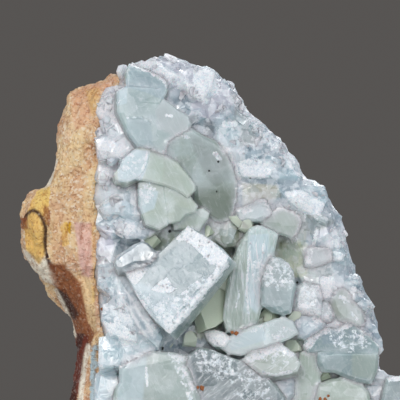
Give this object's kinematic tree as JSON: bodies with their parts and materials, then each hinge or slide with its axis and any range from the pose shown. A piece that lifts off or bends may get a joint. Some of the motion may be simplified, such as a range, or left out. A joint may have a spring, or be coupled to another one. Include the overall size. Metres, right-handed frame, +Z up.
{
  "type": "baryte on matrix",
  "caption": "Cabinet mineral specimen: pale blue-green tabular baryte crystals in a white broken vein on orange-brown wall rock, standing on a flat sawn base.",
  "frame": {"origin": "middle of the box's footprint, on the plane of the sawn base", "axes": "+Z up, +X to the right seen from the crystal side, +Y to the back, into the rock"},
  "size_m": [0.0984, 0.0491, 0.1034],
  "materials": {
    "wall_rock": "rough granular",
    "vein_baryte": "broken, sugary",
    "frosted_baryte": "frosted, pearly",
    "blue_baryte": "smooth, vitreous",
    "green_baryte": "smooth, vitreous"
  },
  "bodies": {
    "root": {"matrix": "wall_rock", "baryte_crust": "vein_baryte", "great_tablet": "frosted_baryte", "leaf_tablet": "blue_baryte", "broad_lower_tablet": "green_baryte", "frosted_block": "frosted_baryte", "wedge_crystal": "frosted_baryte", "slanting_bar": "blue_baryte", "middle_fan_tablets": "green_baryte", "upper_blade_stack": "blue_baryte", "grey_green_blade": "green_baryte", "round_tablet": "frosted_baryte", "striated_prism": "blue_baryte", "tall_prism": "green_baryte", "blue_block": "blue_baryte", "bottom_oval_tablet": "green_baryte", "corner_blade": "blue_baryte", "white_knobs": "frosted_baryte", "grey_oval_tablet": "green_baryte", "small_bar_tablet": "blue_baryte", "hanging_tablet": "blue_baryte", "box_crystal": "blue_baryte"}
  },
  "joints": []
}
